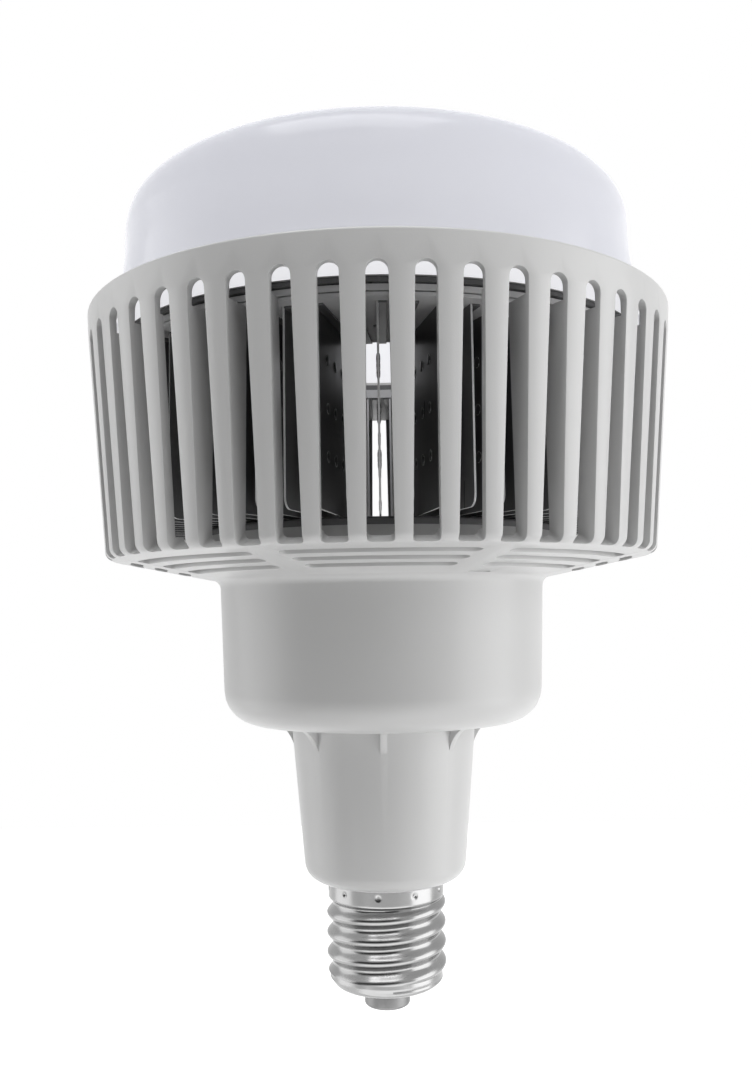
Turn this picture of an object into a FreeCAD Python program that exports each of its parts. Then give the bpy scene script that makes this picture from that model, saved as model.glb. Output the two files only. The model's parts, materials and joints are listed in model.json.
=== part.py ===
import FreeCAD, Part
import math
import os

# LED high bay lamp with a screw cap, lamp axis on Z, dome up, millimetres.
# The origin is the end face of the centre contact, where the lamp meets its holder.

# ---- driving dimensions -------------------------------------------------

# screw cap
cap_major_radius = 19.65
cap_skirt_radius = 18.7
cap_skirt_length = 4.6
cap_step_length = 0.8
cap_sheet = 0.6
cap_length = 40.4
cap_mouth_radius = 12.0
cap_end_radius = 18.3
cap_end_length = 4.2
cap_end_round = 2.6
contact_radius = 7.45
contact_height = 6.2
contact_round = 1.0
contact_stem_radius = 2.6
nose_height = 0.8
nose_bevel = 0.5
insulator_floor = 2.4
insulator_flange_radius = 14.6

# moulded housing: collar
collar_length = 52.1
collar_top_radius = 30.83
collar_end_radius = 26.33
collar_end_round = 4.92
collar_wall = 2.4
spigot_radius = 17.3
spigot_wall = 2.3
spigot_length = 27.0
gusset_count = 8
gusset_thickness = 2.1
gusset_reach = 6.2
gusset_drop = 10.0
gusset_mid_reach = 0.2
gusset_mid_drop = 0.42

# moulded housing: driver neck
neck_height = 46.74
neck_top_radius = 54.2
neck_taper = 1.62
neck_end_round = 11.06
neck_wall = 2.4

# moulded housing: vented floor between neck and cage
floor_slope = 0.199
floor_thickness = 2.3
floor_root_round = 3.0
vent_inset = 9.79
vent_spacing = 7.615
vent_rows = 3
vent_width = 4.0
vent_sectors = 8
vent_spoke_width = 9.4
latch_slot_offset = 3.1
latch_slot_width = 1.8
latch_slot_half_angle = 3.0
latch_slot_count = 3
latch_slot_first_angle = 30.0

# moulded housing: slotted cage
cage_height = 76.6
cage_taper = 5.63
cage_shoulder_radius = 96.48
rim_flare = 0.47
cage_end_round = 3.0
rim_height = 9.7
rim_round = 1.47
rim_lip = 2.0
rim_flange_thickness = 2.8
rim_wall = 2.2
bar_head_depth = 6.48
bar_depth = 12.08
shallow_bar_depth = 6.78
plate_seat_depth = 14.7
slot_count = 48
shallow_bar_count = 6
shallow_bar_first_angle = 18.75
slot_top_drop = 8.94
slot_top_width = 5.8
slot_end_width = 7.3
slot_end_round = 1.5
slot_head_share = 0.98
shallow_bar_foot = 0.8
slot_lip_height = 1.9
slot_floor_fall = 0.54

# moulded housing: driver compartment wall inside the cage
bay_ledge = 6.0
bay_wall = 1.7
bay_depth_below_seat = 57.7
boss_radius = 3.4
board_boss_height = 8.0
board_boss_circle = 39.0
cover_boss_inset = 5.6
boss_count = 4

# diffuser
dome_crown_height = 47.09
dome_shoulder_height = 19.48
dome_lean = 2.18
dome_foot_clearance = 0.44
dome_exponent = 4.4
dome_wall = 2.0
seal_height = 0.3
seal_width = 2.6

# heat sink
plate_clearance = 2.6
plate_hole_radius = 40.0
plate_thickness = 1.4
plate_step = 1.8
plate_step_height = 0.4
plate_bevel = 0.3
ring_inset = 1.0
ring_thickness = 3.1
ring_groove_height = 0.45
ring_groove_depth = 1.3
ring_lower_band = 0.95
fin_count = 60
fin_banks = 6
fin_thickness = 0.9
fin_hole_gap = 0.6
fin_bar_gap = 2.4
fin_corner_round = 3.2
fin_flange_width = 2.6
fin_flange_thickness = 0.9

# light source
board_inset = 5.4
board_hole_step = 3.0
board_thickness = 1.6
led_size = 3.0
led_height = 0.7
led_rings = (52.0, 64.0, 76.0)
led_counts = (20, 28, 32)
led_screw_circle = 58.0
led_screw_count = 6
plate_screw_circle = 70.0
plate_screw_count = 6
plate_screw_first_angle = 30.0
screw_shank_radius = 1.2
screw_head_radius = 2.6
screw_head_height = 1.6
screw_length = 6.0
screw_recess_share = 0.5
screw_cross_share = 1.1
screw_cross_width_share = 0.28
terminal_size = (9.0, 11.4, 4.2)
terminal_radius = 47.5

# driver
cover_thickness = 2.3
cover_bevel = 0.6
cover_grommet_hole_radius = 6.0
grommet_lip = 1.6
grommet_thickness = 1.1
driver_board_radius = 46.0
driver_board_thickness = 1.6
transformer_size = (30.0, 24.0, 26.0)
transformer_place = (0.0, 22.0)
core_window_height = 15.0
core_side_width = 4.0
core_leg_width = 7.0
winding_overhang = 3.5
bulk_cap_radius = 9.0
bulk_cap_height = 32.0
bulk_cap_bevel = 0.7
bead_height = 3.8
bead_depth = 0.8
bulk_cap_places = ((-26.0, -9.0), (-26.0, 12.0))
choke_outer_radius = 10.0
choke_inner_radius = 4.5
choke_width = 9.0
choke_bevel = 1.2
choke_place = (27.0, -18.0)
film_cap_size = (18.0, 8.0, 14.0)
film_cap_place = (8.0, -30.0)
rectifier_size = (15.0, 4.4, 14.0)
rectifier_place = (-14.0, -31.0)
sink_size = (26.0, 2.0, 30.0)
sink_place = (0.0, -12.0)
transistor_size = (10.2, 4.4, 15.0)
fuse_radius = 4.2
fuse_height = 8.0
fuse_place = (27.0, 14.0)

# leads
lead_radius = 1.1
lead_clearance = 0.3
led_lead_radius = 36.4
led_lead_offset = 2.2
led_lead_bend = 3.4
lead_entry_depth = 1.5
neutral_lead_radius = 13.0

# ---- clearances ---------------------------------------------------------

winding_clearance = 0.3
fin_floor_clearance = 0.6
cap_clearance = 0.2
screw_clearance = 0.2
pilot_fit = 0.05

# ---- radii that follow from the driving dimensions -------------------------

neck_end_radius = neck_top_radius - neck_taper
cage_end_radius = cage_shoulder_radius - cage_taper
cage_top_radius = cage_shoulder_radius + rim_flare
bar_inner_radius = cage_shoulder_radius - bar_depth
bar_head_radius = cage_shoulder_radius - bar_head_depth
shallow_bar_inner_radius = cage_shoulder_radius - shallow_bar_depth
rim_inner_radius = bar_head_radius - rim_lip
bay_radius = neck_top_radius + bay_ledge
cover_boss_circle = bay_radius - cover_boss_inset
vent_radii = [cage_end_radius - vent_inset - row * vent_spacing for row in range(vent_rows)]
latch_slot_radius = neck_top_radius + latch_slot_offset
dome_foot_radius = rim_inner_radius - dome_foot_clearance
dome_shoulder_radius = dome_foot_radius - dome_lean
plate_radius = bar_head_radius - plate_clearance
plate_step_radius = plate_radius - plate_step
ring_radius = plate_radius - ring_inset
fin_inner_radius = plate_hole_radius + fin_hole_gap
fin_outer_radius = bar_inner_radius - fin_bar_gap
board_outer_radius = plate_radius - board_inset
board_inner_radius = plate_hole_radius + board_hole_step

# ---- levels along the lamp axis ------------------------------------------

shell_floor_z = contact_height + nose_height + cap_sheet
insulator_top_z = shell_floor_z + insulator_floor
collar_end_z = cap_length
collar_top_z = collar_end_z + collar_length
neck_top_z = collar_top_z + neck_height
floor_edge_radius = cage_end_radius - cage_end_round + cage_end_round * math.sin(math.atan(floor_slope))
floor_edge_z = neck_top_z + floor_slope * (floor_edge_radius - neck_top_radius)
cage_end_z = floor_edge_z + cage_end_round * math.cos(math.atan(floor_slope))
rim_top_z = cage_end_z + cage_height
plate_seat_z = rim_top_z - plate_seat_depth
rim_flange_z = rim_top_z - rim_flange_thickness
ring_top_z = plate_seat_z + ring_thickness
plate_top_z = ring_top_z + plate_step_height + plate_thickness
board_top_z = plate_top_z + board_thickness
dome_foot_z = plate_top_z + seal_height
cover_seat_z = plate_seat_z - bay_depth_below_seat
cover_top_z = cover_seat_z + cover_thickness
fin_end_z = cover_top_z + fin_floor_clearance
neck_floor_z = collar_top_z + neck_wall
driver_board_z = neck_floor_z + board_boss_height
driver_top_z = driver_board_z + driver_board_thickness


def floor_under_z(radius):
    """Height of the vented floor's underside at a radius."""
    return neck_top_z + floor_slope * (radius - neck_top_radius)


def floor_over_z(radius):
    """Height of the vented floor's upper face at a radius."""
    return floor_under_z(radius) + floor_thickness


# ---- helpers --------------------------------------------------------------

AXIS = FreeCAD.Vector(0, 0, 1)
ORIGIN = FreeCAD.Vector(0, 0, 0)


def at(radius, degrees, z=0.0):
    """Point at a radius and an angle about the lamp axis, counted from the front."""
    turn = math.radians(degrees)
    return FreeCAD.Vector(radius * math.sin(turn), -radius * math.cos(turn), z)


def turned(shape, degrees):
    """Copy of a shape turned about the lamp axis."""
    copy = shape.copy()
    copy.rotate(ORIGIN, AXIS, degrees)
    return copy


def rounded_wire(corners, place):
    """Closed wire through (a, b, radius) corners, each rounded by its radius."""
    edges = []
    first = last = None
    count = len(corners)
    for index in range(count):
        before = place(*corners[index - 1][:2])
        here = place(*corners[index][:2])
        after = place(*corners[(index + 1) % count][:2])
        radius = corners[index][2]
        start = end = here
        if radius > 0:
            back = (before - here).normalize()
            ahead = (after - here).normalize()
            half = back.getAngle(ahead) / 2
            reach = radius / math.tan(half)
            start = here + back * reach
            end = here + ahead * reach
            centre = here + (back + ahead).normalize() * (radius / math.sin(half))
            middle = centre + (here - centre).normalize() * radius
        if last is not None and (start - last).Length > 1e-6:
            edges.append(Part.LineSegment(last, start).toShape())
        if radius > 0:
            edges.append(Part.Arc(start, middle, end).toShape())
        first = first or start
        last = end
    if (last - first).Length > 1e-6:
        edges.append(Part.LineSegment(last, first).toShape())
    return Part.Wire(edges)


def in_section(radius, z):
    """Place for a profile that is turned about the lamp axis."""
    return FreeCAD.Vector(radius, 0, z)


def bevelled(radius, z, size, inwards, upwards):
    """Two outline corners that cut one corner of a turned piece at 45 degrees."""
    along = (radius - inwards * size, z, 0)
    rise = (radius, z + upwards * size, 0)
    return [along, rise] if upwards > 0 else [rise, along]


def revolved(corners):
    """Solid of revolution from (radius, z, rounding) corners."""
    face = Part.Face(rounded_wire(corners, in_section))
    return face.revolve(ORIGIN, AXIS, 360)


def tube(outer, inner, low, high):
    """Plain ring between two heights."""
    return revolved([(inner, low, 0), (outer, low, 0), (outer, high, 0), (inner, high, 0)])


def rod(radius, centre, low, high):
    """Upright cylinder on a centre point."""
    return Part.makeCylinder(radius, high - low, FreeCAD.Vector(centre[0], centre[1], low), AXIS)


def block(size, centre, low):
    """Upright box centred over a point."""
    corner = FreeCAD.Vector(centre[0] - size[0] / 2, centre[1] - size[1] / 2, low)
    return Part.makeBox(size[0], size[1], size[2], corner)


def ring_of(shape, count, first=0.0):
    """Copies of a shape evenly spaced about the lamp axis."""
    return [turned(shape, first + index * 360.0 / count) for index in range(count)]


def arc_slot(radius, width, half_angle, low, high):
    """Curved slot with rounded ends, centred on the front."""
    inner = radius - width / 2
    outer = radius + width / 2
    edges = [
        Part.Arc(at(outer, -half_angle, low), at(outer, 0, low), at(outer, half_angle, low)),
        Part.Arc(at(inner, -half_angle, low), at(inner, 0, low), at(inner, half_angle, low)),
    ]
    for side in (-1, 1):
        end = at(radius, side * half_angle, low)
        along = at(1, side * (half_angle + 90))
        edges.append(Part.Arc(at(outer, side * half_angle, low), end + along * (width / 2),
                              at(inner, side * half_angle, low)))
    wire = Part.Wire(Part.__sortEdges__([edge.toShape() for edge in edges]))
    return Part.Face(wire).extrude(AXIS * (high - low))


def write(name, shape):
    """Write one sub-part as a STEP file of its own."""
    shape.exportStep("parts/%s.step" % name)


# ---- moulded housing --------------------------------------------------------

def housing_body():
    """Cage, vented floor, driver neck, collar and spigot as one turned wall."""
    spigot_end_z = collar_end_z - spigot_length
    spigot_root_z = collar_end_z - cap_skirt_length
    spigot_bore = spigot_radius - spigot_wall
    spigot_root_radius = cap_skirt_radius - cap_sheet - cap_clearance
    floor_inner = bay_radius - bay_wall
    return revolved([
        (spigot_bore, spigot_end_z, 0),
        (spigot_radius, spigot_end_z, 0),
        (spigot_radius, spigot_root_z, 0),
        (spigot_root_radius, spigot_root_z, 0),
        (spigot_root_radius, collar_end_z, 0),
        (collar_end_radius, collar_end_z, collar_end_round),
        (collar_top_radius, collar_top_z, 0),
        (neck_end_radius, collar_top_z, neck_end_round),
        (neck_top_radius, neck_top_z, floor_root_round),
        (cage_end_radius, floor_under_z(cage_end_radius), cage_end_round),
        (cage_shoulder_radius, rim_top_z - rim_height, 0),
        (cage_top_radius, rim_top_z, rim_round),
        (rim_inner_radius, rim_top_z, 0),
        (rim_inner_radius, rim_flange_z, 0),
        (bar_head_radius, rim_flange_z, 0),
        (bar_head_radius, plate_seat_z, 0),
        (bar_inner_radius, plate_seat_z, 0),
        (bar_inner_radius, floor_over_z(bar_inner_radius), 0),
        (bay_radius, floor_over_z(bay_radius), 0),
        (bay_radius, cover_seat_z, 0),
        (floor_inner, cover_seat_z, 0),
        (floor_inner, floor_over_z(floor_inner), 0),
        (neck_top_radius - neck_wall, floor_over_z(neck_top_radius - neck_wall), 0),
        (neck_end_radius - neck_wall, neck_floor_z, neck_end_round - neck_wall),
        (collar_top_radius - collar_wall, neck_floor_z, 0),
        (collar_end_radius - collar_wall, collar_end_z + collar_wall, 0),
        (spigot_bore, collar_end_z + collar_wall, 0),
    ])


def slot_outline(low, place):
    """Slot shape on a flat: round head, sides that spread downwards, round lower corners."""
    spread = (slot_end_width - slot_top_width) / 2 / (cage_height - slot_top_drop)
    half_top = slot_top_width / 2
    half_end = half_top - spread * low
    return Part.Face(rounded_wire([
        (-half_end, low, slot_end_round),
        (half_end, low, slot_end_round),
        (half_top, 0, slot_head_share * half_top),
        (-half_top, 0, slot_head_share * half_top),
    ], place))


def cage_slot_cutter():
    """One air slot, cut straight in, with a floor that falls outwards."""
    outer = cage_top_radius + 3
    depth = outer - bar_inner_radius + 4
    top_z = rim_top_z - slot_top_drop
    lip_radius = cage_end_radius - cage_end_round
    lip_z = floor_under_z(lip_radius) + slot_lip_height
    end_z = lip_z - slot_floor_fall * (outer - lip_radius)
    fall = math.atan(slot_floor_fall)
    inward = FreeCAD.Vector(0, math.cos(fall), math.sin(fall))
    upward = FreeCAD.Vector(0, -math.sin(fall), math.cos(fall))
    edge = FreeCAD.Vector(0, -outer, end_z)
    rise = (top_z - end_z + depth) * math.cos(fall)

    def facing_out(across, up):
        return FreeCAD.Vector(across, -outer, top_z + up)

    def facing_floor(across, up):
        return edge + FreeCAD.Vector(across, 0, 0) + upward * (rise + up)

    straight = slot_outline(end_z - depth - top_z, facing_out).extrude(FreeCAD.Vector(0, depth, 0))
    sloping = slot_outline(-rise, facing_floor).extrude(inward * (2 * depth))
    return straight.common(sloping)


def head_pocket_cutter():
    """Space behind the thin wall over one slot, between the ribs of two bars."""
    inner = bar_inner_radius - 1
    outer = cage_shoulder_radius - rim_wall
    low = rim_top_z - slot_top_drop - slot_top_width
    size = (slot_top_width, outer - inner, rim_flange_z - low)
    return block(size, (0, -(outer + inner) / 2), low)


def shallow_bar_cutter():
    """Trims one bar back from the inside, leaving its outer face."""
    pitch = 360.0 / slot_count
    reach = math.radians(pitch) * shallow_bar_inner_radius
    depth = shallow_bar_inner_radius - bar_inner_radius + 2
    low = floor_over_z(bar_inner_radius) + shallow_bar_foot
    size = (reach, depth, plate_seat_z + 2 - low)
    centre = (0, -(shallow_bar_inner_radius - depth / 2))
    return block(size, centre, low)


def floor_vents():
    """Three rows of curved air slots in the floor, and the latch slots by the neck."""
    cutters = []
    low = neck_top_z - 3
    high = floor_over_z(cage_end_radius) + 1
    for radius in vent_radii:
        spoke = math.degrees((vent_spoke_width + vent_width) / 2 / radius)
        cutter = arc_slot(radius, vent_width, 180.0 / vent_sectors - spoke, low, high)
        cutters += ring_of(cutter, vent_sectors)
    latch = arc_slot(latch_slot_radius, latch_slot_width, latch_slot_half_angle, low, high)
    cutters += ring_of(latch, latch_slot_count, latch_slot_first_angle)
    return cutters


def gusset():
    """One web under the neck, with a hollow curved edge, at the front."""
    root = collar_top_radius
    low_z = collar_top_z - gusset_drop
    tip = root + gusset_reach
    low_radius = root - (root - collar_end_radius) * gusset_drop / collar_length
    wall_z = collar_top_z + 1
    middle = FreeCAD.Vector(0, -(root + gusset_reach * gusset_mid_reach), collar_top_z - gusset_drop * gusset_mid_drop)
    edge = Part.Arc(FreeCAD.Vector(0, -low_radius, low_z), middle,
                    FreeCAD.Vector(0, -tip, collar_top_z)).toShape()
    points = [FreeCAD.Vector(0, -tip, collar_top_z), FreeCAD.Vector(0, -tip, wall_z),
              FreeCAD.Vector(0, -(root - 1), wall_z), FreeCAD.Vector(0, -(low_radius - 1), low_z),
              FreeCAD.Vector(0, -low_radius, low_z)]
    lines = [Part.LineSegment(a, b).toShape() for a, b in zip(points, points[1:])]
    web = Part.Face(Part.Wire([edge] + lines))
    web.translate(FreeCAD.Vector(-gusset_thickness / 2, 0, 0))
    return web.extrude(FreeCAD.Vector(gusset_thickness, 0, 0))


def boss(circle, low, high, angle):
    """One screw boss with its pilot hole."""
    centre = at(circle, angle)
    pilot = screw_shank_radius + pilot_fit
    return rod(boss_radius, centre, low, high).cut(rod(pilot, centre, high - screw_length - 1, high + 1))


def boss_angles():
    return [45 + index * 360.0 / boss_count for index in range(boss_count)]


def housing():
    body = housing_body()
    bosses = []
    for angle in boss_angles():
        bosses.append(boss(board_boss_circle, neck_floor_z - 1, driver_board_z, angle))
        bosses.append(boss(cover_boss_circle, floor_over_z(cover_boss_circle) - 1, cover_seat_z, angle))
    body = body.fuse(ring_of(gusset(), gusset_count) + bosses)
    cutters = ring_of(cage_slot_cutter(), slot_count) + ring_of(head_pocket_cutter(), slot_count)
    cutters += ring_of(shallow_bar_cutter(), shallow_bar_count, shallow_bar_first_angle)
    return body.cut(cutters + floor_vents()).removeSplitter()


# ---- diffuser ---------------------------------------------------------------

def dome_curve(radius, low, high, sign):
    """Points of the flat-topped crown, a quarter of a rounded square in section."""
    points = []
    steps = 12
    for index in range(steps + 1):
        turn = math.pi / 2 * index / steps
        across = radius * math.sin(turn) ** (2 / dome_exponent)
        up = low + (high - low) * math.cos(turn) ** (2 / dome_exponent)
        points.append(FreeCAD.Vector(across, 0, up))
    return points[::sign]


def diffuser():
    """Milky dome: crown, rounded shoulder and a skirt down inside the rim."""
    shoulder_z = rim_top_z + dome_shoulder_height
    crown_z = rim_top_z + dome_crown_height
    inner_radius = dome_shoulder_radius - dome_wall
    outer = dome_curve(dome_shoulder_radius, shoulder_z, crown_z, 1)
    inner = dome_curve(inner_radius, shoulder_z, crown_z - dome_wall, -1)
    outer_curve = Part.BSplineCurve()
    outer_curve.interpolate(outer)
    inner_curve = Part.BSplineCurve()
    inner_curve.interpolate(inner)
    foot = [FreeCAD.Vector(dome_foot_radius, 0, rim_top_z), FreeCAD.Vector(dome_foot_radius, 0, dome_foot_z),
            FreeCAD.Vector(dome_foot_radius - dome_wall, 0, dome_foot_z),
            FreeCAD.Vector(dome_foot_radius - dome_wall, 0, rim_top_z)]
    path = [outer[-1]] + foot + [inner[0]]
    edges = [outer_curve.toShape()]
    edges += [Part.LineSegment(a, b).toShape() for a, b in zip(path, path[1:])]
    edges += [inner_curve.toShape(), Part.LineSegment(inner[-1], outer[0]).toShape()]
    return Part.Face(Part.Wire(edges)).revolve(ORIGIN, AXIS, 360)


def diffuser_seal():
    """Flat gasket under the foot of the dome."""
    return tube(dome_foot_radius, dome_foot_radius - seal_width, plate_top_z, dome_foot_z)


# ---- heat sink ----------------------------------------------------------------

def heat_spreader():
    """Plate that carries the light source, stepped where it meets the fin ring."""
    step_z = ring_top_z + plate_step_height
    plate = revolved([(plate_hole_radius, ring_top_z, 0), (plate_step_radius, ring_top_z, 0),
                      (plate_step_radius, step_z, 0), (plate_radius, step_z, 0)]
                     + bevelled(plate_radius, plate_top_z, plate_bevel, 1, -1)
                     + [(plate_hole_radius, plate_top_z, 0)])
    return plate.cut(screw_holes(led_screw_circle, led_screw_count, 0)
                     + screw_holes(plate_screw_circle, plate_screw_count, plate_screw_first_angle))


def fin_ring():
    """Clamp ring that the fins hang from, with a groove round its edge."""
    low_band_z = plate_seat_z + ring_lower_band
    groove_radius = ring_radius - ring_groove_depth
    ring = revolved([
        (plate_hole_radius, plate_seat_z, 0),
        (ring_radius, plate_seat_z, 0),
        (ring_radius, low_band_z, 0),
        (groove_radius, low_band_z, 0),
        (groove_radius, low_band_z + ring_groove_height, 0),
        (ring_radius, low_band_z + ring_groove_height, 0),
        (ring_radius, ring_top_z, 0),
        (plate_hole_radius, ring_top_z, 0),
    ])
    return ring.cut(screw_holes(led_screw_circle, led_screw_count, 0)
                    + screw_holes(plate_screw_circle, plate_screw_count, plate_screw_first_angle))


def fin():
    """One stamped fin at the front, its head folded over as a flange."""
    pitch = 360.0 / fin_count

    def place(radius, up):
        return FreeCAD.Vector(-fin_thickness / 2, -radius, up)

    sheet = Part.Face(rounded_wire([
        (fin_inner_radius, plate_seat_z, 0),
        (fin_inner_radius, fin_end_z, fin_corner_round),
        (fin_outer_radius, fin_end_z, fin_corner_round),
        (fin_outer_radius, plate_seat_z, 0),
    ], place)).extrude(FreeCAD.Vector(fin_thickness, 0, 0))
    flange_length = fin_outer_radius - fin_inner_radius
    flange_width = min(fin_flange_width, math.radians(pitch) * fin_inner_radius - fin_thickness * 1.5)
    flange = Part.makeBox(flange_width, flange_length, fin_flange_thickness,
                          FreeCAD.Vector(0, -fin_outer_radius, plate_seat_z - fin_flange_thickness))
    return sheet.fuse(flange).removeSplitter()


def fin_bank(bank):
    """Neighbouring fins that make one sector of the stack."""
    per_bank = fin_count // fin_banks
    pitch = 360.0 / fin_count
    first = (bank * per_bank - (per_bank - 1) / 2) * pitch + pitch / 2
    return Part.Compound([turned(fin(), first + index * pitch) for index in range(per_bank)])


# ---- light source ---------------------------------------------------------------

def screw_holes(circle, count, first):
    """Clear holes through the plate stack on one circle."""
    hole = rod(screw_shank_radius + screw_clearance, at(circle, 0), plate_seat_z - 1, board_top_z + 1)
    return ring_of(hole, count, first)


def screw(head_z, length=screw_length):
    """Pan head screw on the lamp axis, pointing down, with a cross recess."""
    head = Part.makeCylinder(screw_head_radius, screw_head_height, FreeCAD.Vector(0, 0, head_z))
    shank = rod(screw_shank_radius, (0, 0), head_z - length, head_z)
    arm = screw_head_radius * screw_cross_share
    slot = screw_head_radius * screw_cross_width_share
    recess_z = head_z + screw_head_height * screw_recess_share
    bars = [block((arm, slot, screw_head_height), (0, 0), recess_z),
            block((slot, arm, screw_head_height), (0, 0), recess_z)]
    return head.fuse(shank).cut(bars)


def screws_on(circle, head_z, angles, length=screw_length):
    """Group of equal screws standing on one circle."""
    group = []
    for angle in angles:
        one = screw(head_z, length)
        one.translate(at(circle, angle))
        group.append(one)
    return Part.Compound(group)


def led_board():
    board = tube(board_outer_radius, board_inner_radius, plate_top_z, board_top_z)
    return board.cut(screw_holes(led_screw_circle, led_screw_count, 0)
                     + screw_holes(plate_screw_circle, plate_screw_count, plate_screw_first_angle))


def leds():
    """Square emitters on three circles, set between the board's screws."""
    group = []
    for radius, count in zip(led_rings, led_counts):
        one = block((led_size, led_size, led_height), at(radius, 0), board_top_z)
        group += ring_of(one, count, 180.0 / count)
    return Part.Compound(group)


def led_terminal():
    """Terminal block that takes the two leads at the board's inner edge."""
    body = block(terminal_size, (terminal_radius, 0), board_top_z)
    for offset in (-led_lead_offset, led_lead_offset):
        start = FreeCAD.Vector(terminal_radius - terminal_size[0], offset, lead_entry_z())
        entry = Part.makeCylinder(lead_radius + lead_clearance, terminal_size[0], start, FreeCAD.Vector(1, 0, 0))
        body = body.cut(entry)
    return body


def lead_entry_z():
    return board_top_z + terminal_size[2] / 2


# ---- driver ------------------------------------------------------------------------

def driver_cover():
    """Lid over the driver, screwed to the bosses inside the compartment wall."""
    lid = revolved([(0, cover_seat_z, 0), (bay_radius, cover_seat_z, 0)]
                   + bevelled(bay_radius, cover_top_z, cover_bevel, 1, -1)
                   + [(0, cover_top_z, 0)])
    lid = lid.cut(rod(cover_grommet_hole_radius, (led_lead_radius, 0), cover_seat_z - 1, cover_top_z + 1))
    hole = screw_shank_radius + screw_clearance
    sunk = screw_head_radius + screw_clearance
    for angle in boss_angles():
        centre = at(cover_boss_circle, angle)
        lid = lid.cut([rod(hole, centre, cover_seat_z - 1, cover_top_z + 1),
                       rod(sunk, centre, cover_top_z - screw_head_height, cover_top_z + 1)])
    return lid


def grommet():
    """Rubber ring in the lid, bored for the two leads to the light source."""
    lip_radius = cover_grommet_hole_radius + grommet_lip
    groove = cover_grommet_hole_radius
    body = revolved([
        (0, cover_seat_z - grommet_thickness, 0),
        (lip_radius, cover_seat_z - grommet_thickness, 0),
        (lip_radius, cover_seat_z, 0),
        (groove, cover_seat_z, 0),
        (groove, cover_top_z, 0),
        (0, cover_top_z, 0),
    ])
    for offset in (-led_lead_offset, led_lead_offset):
        body = body.cut(rod(lead_radius + pilot_fit, (0, offset), cover_seat_z - 3, cover_top_z + 3))
    body.translate(FreeCAD.Vector(led_lead_radius, 0, 0))
    return body


def driver_board():
    board = rod(driver_board_radius, (0, 0), driver_board_z, driver_top_z)
    hole = screw_shank_radius + screw_clearance
    for angle in boss_angles():
        board = board.cut(rod(hole, at(board_boss_circle, angle), driver_board_z - 1, driver_top_z + 1))
    return board


def transformer_core():
    """Ferrite frame round the winding."""
    width, depth, height = transformer_size
    frame = block(transformer_size, transformer_place, driver_top_z)
    window_low = driver_top_z + (height - core_window_height) / 2
    window = block((width - 2 * core_side_width, depth + 2, core_window_height), transformer_place, window_low)
    leg = block((core_leg_width, depth, core_window_height), transformer_place, window_low)
    return frame.cut(window).fuse(leg).removeSplitter()


def transformer_winding():
    """Taped winding round the middle leg of the core."""
    width, depth, height = transformer_size
    window_low = driver_top_z + (height - core_window_height) / 2
    gap = winding_clearance
    coil_size = (width - 2 * (core_side_width + gap), depth + 2 * winding_overhang, core_window_height - 2 * gap)
    coil = block(coil_size, transformer_place, window_low + gap)
    leg = block((core_leg_width + 2 * gap, depth + 2 * gap, core_window_height), transformer_place, window_low)
    return coil.cut(leg)


def bulk_capacitors():
    """Two electrolytic cans standing on the board, with a bead round the foot."""
    cans = []
    for place in bulk_cap_places:
        bead_z = driver_top_z + bead_height
        top_z = driver_top_z + bulk_cap_height
        can = revolved([(0, driver_top_z, 0)]
                       + bevelled(bulk_cap_radius, driver_top_z, bulk_cap_bevel, 1, 1)
                       + [(bulk_cap_radius, bead_z - bead_depth, 0), (bulk_cap_radius - bead_depth, bead_z, 0),
                          (bulk_cap_radius, bead_z + bead_depth, 0)]
                       + bevelled(bulk_cap_radius, top_z, bulk_cap_bevel, 1, -1)
                       + [(0, top_z, 0)])
        can.translate(FreeCAD.Vector(place[0], place[1], 0))
        cans.append(can)
    return Part.Compound(cans)


def line_choke():
    """Toroid standing on edge on the board."""
    centre = FreeCAD.Vector(choke_place[0], choke_place[1] - choke_width / 2, driver_top_z + choke_outer_radius)
    along = FreeCAD.Vector(0, 1, 0)
    body = Part.makeCylinder(choke_outer_radius, choke_width, centre, along)
    body = body.cut(Part.makeCylinder(choke_inner_radius, choke_width, centre, along))
    return body.makeChamfer(choke_bevel, [edge for edge in body.Edges if len(edge.Vertexes) == 1])


def heat_tab():
    """Upright aluminium tab that cools the switching transistor."""
    return block(sink_size, sink_place, driver_top_z)


def transistor():
    """Switching transistor, flat against its heat tab."""
    place = (sink_place[0], sink_place[1] - sink_size[1] / 2 - transistor_size[1] / 2)
    return block(transistor_size, place, driver_top_z)


def input_fuse():
    return rod(fuse_radius, fuse_place, driver_top_z, driver_top_z + fuse_height)


# ---- screw cap ----------------------------------------------------------------------

def cap_shell():
    """Rolled shell: plain skirt under the collar, thread wall and an end that draws in."""
    low = shell_floor_z - cap_sheet
    end_z = low + cap_end_length
    step_z = cap_length - cap_skirt_length
    inner_skirt = cap_skirt_radius - cap_sheet
    inner_wall = cap_major_radius - cap_sheet
    return revolved([
        (cap_mouth_radius, low, 0),
        (cap_end_radius, low, cap_end_round),
        (cap_major_radius, end_z, 0),
        (cap_major_radius, step_z - cap_step_length, 0),
        (cap_skirt_radius, step_z, 0),
        (cap_skirt_radius, cap_length, 0),
        (inner_skirt, cap_length, 0),
        (inner_skirt, step_z, 0),
        (inner_wall, step_z - cap_step_length, 0),
        (inner_wall, end_z, 0),
        (cap_end_radius - cap_sheet, shell_floor_z, cap_end_round - cap_sheet),
        (cap_mouth_radius, shell_floor_z, 0),
    ])


def cap_insulator():
    """Ring of insulation that fills the mouth of the shell round the contact."""
    nose_radius = cap_mouth_radius - cap_clearance
    bore = contact_stem_radius + cap_clearance
    return revolved([(bore, contact_height, 0)]
                    + bevelled(nose_radius, contact_height, nose_bevel, 1, 1)
                    + [(nose_radius, shell_floor_z, 0), (insulator_flange_radius, shell_floor_z, 0)]
                    + bevelled(insulator_flange_radius, insulator_top_z, nose_bevel, 1, -1)
                    + [(bore, insulator_top_z, 0)])


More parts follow.
